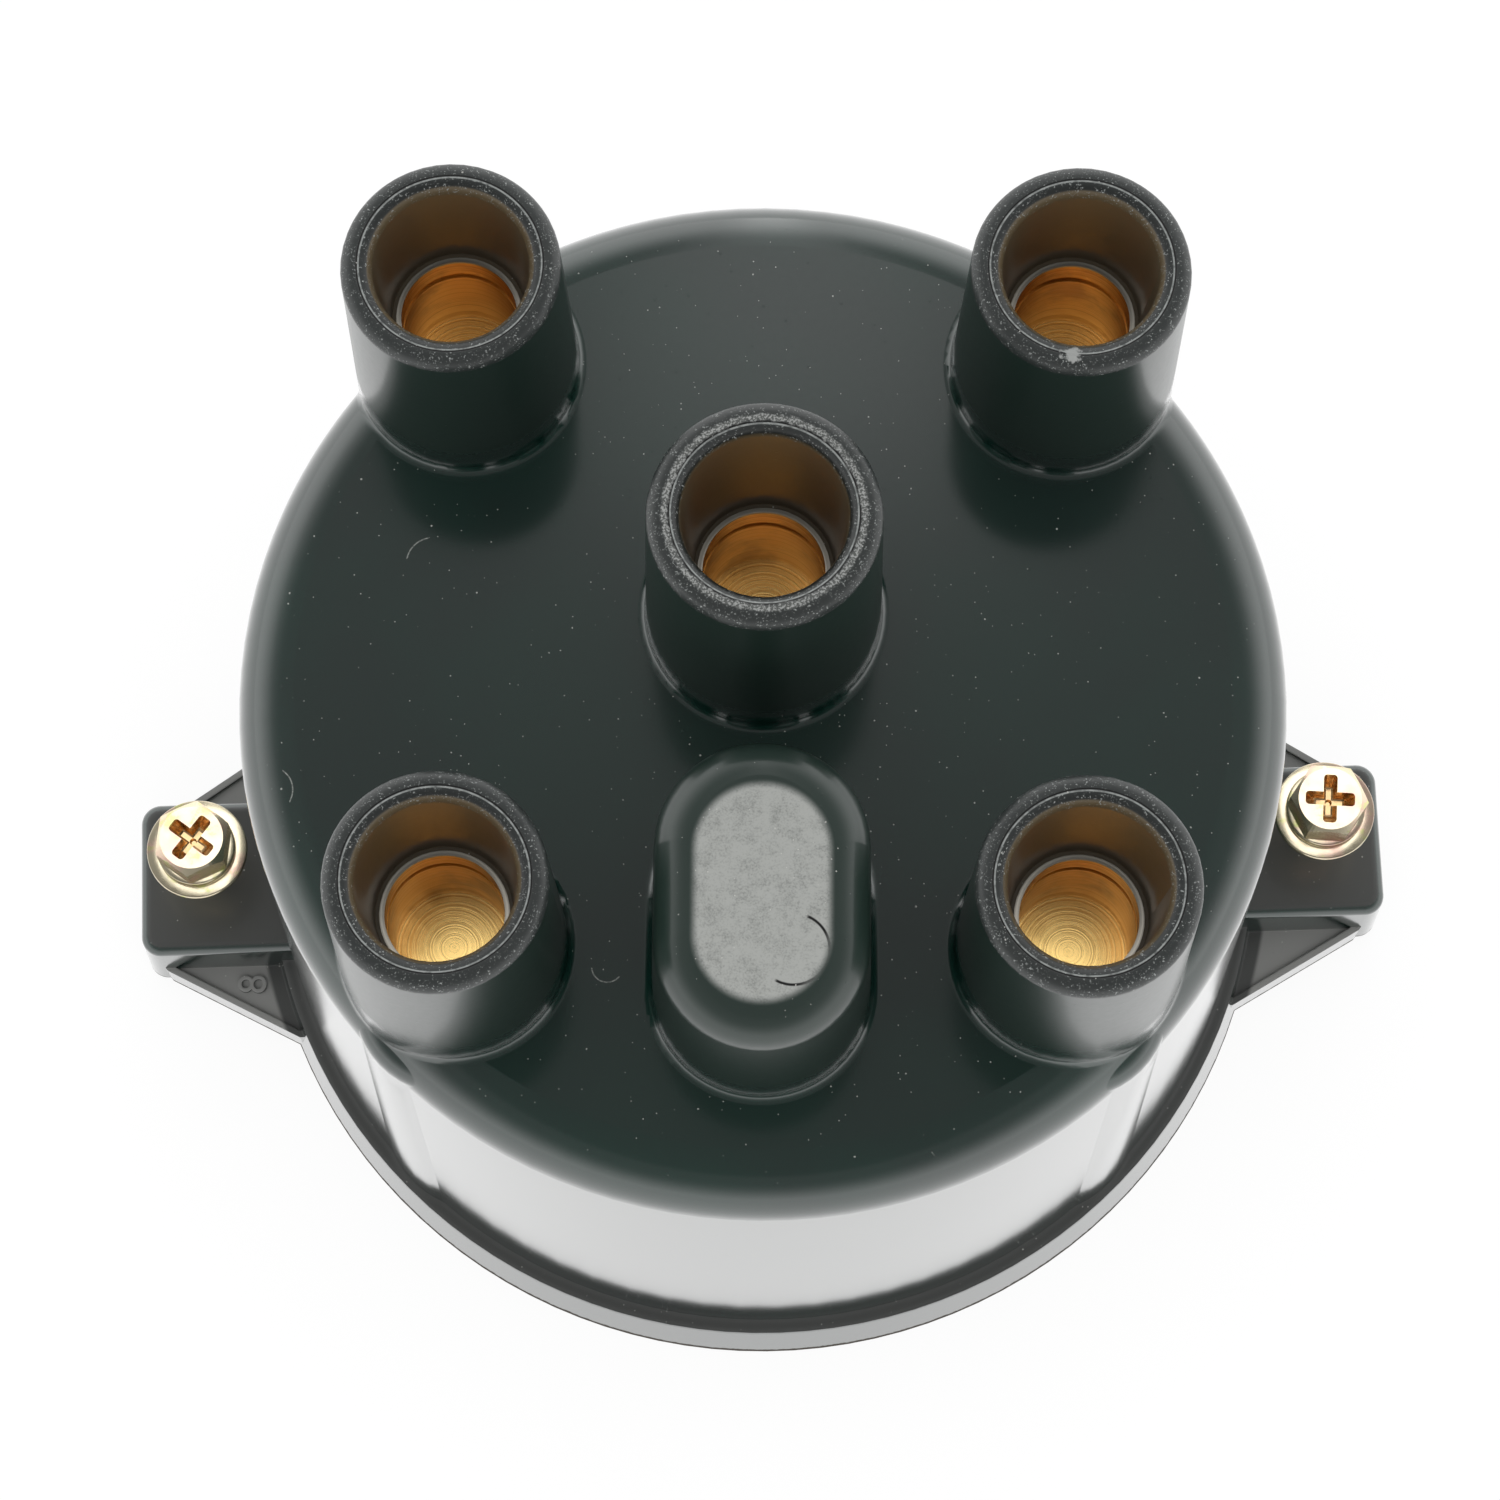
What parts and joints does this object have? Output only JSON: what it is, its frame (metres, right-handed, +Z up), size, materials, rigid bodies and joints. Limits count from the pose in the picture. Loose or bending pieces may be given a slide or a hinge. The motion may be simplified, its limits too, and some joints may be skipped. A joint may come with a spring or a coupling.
{
  "type": "distributor cap",
  "caption": "Moulded ignition distributor cap with brass-lined lead towers, a rounded hump, screw ears and a sprung carbon centre brush.",
  "frame": {"origin": "centre of the flange circle on the seating face", "axes": "+Z up along the towers, +X towards the right ear, +Y towards the rear towers, away from the hump"},
  "size_m": [0.1396, 0.113, 0.104],
  "materials": {
    "moulding": "smooth, slightly glossy near-black phenolic moulding",
    "brass": "turned brass",
    "carbon": "pressed carbon, dull",
    "spring_steel": "drawn wire",
    "yellow_zinc": "yellow chromate on zinc"
  },
  "bodies": {
    "cap": {"cap_body": "moulding", "sleeve_rear_left": "brass", "electrode_rear_left": "brass", "sleeve_rear_right": "brass", "electrode_rear_right": "brass", "sleeve_front_left": "brass", "electrode_front_left": "brass", "sleeve_front_right": "brass", "electrode_front_right": "brass", "sleeve_centre": "brass", "centre_contact": "brass", "screw_left": "yellow_zinc", "lock_washer_left": "yellow_zinc", "flat_washer_left": "yellow_zinc", "screw_right": "yellow_zinc", "lock_washer_right": "yellow_zinc", "flat_washer_right": "yellow_zinc"},
    "brush": {"carbon_brush": "carbon", "brush_spring": "spring_steel"}
  },
  "joints": [
    {"name": "brush_slide", "type": "slide", "parent": "cap", "child": "brush", "axis": [0, 0, 1], "range_m": [0, 0.002], "stiffness_N_per_m": 150, "springref_m": -0.006, "deforming": ["brush_spring"]}
  ]
}
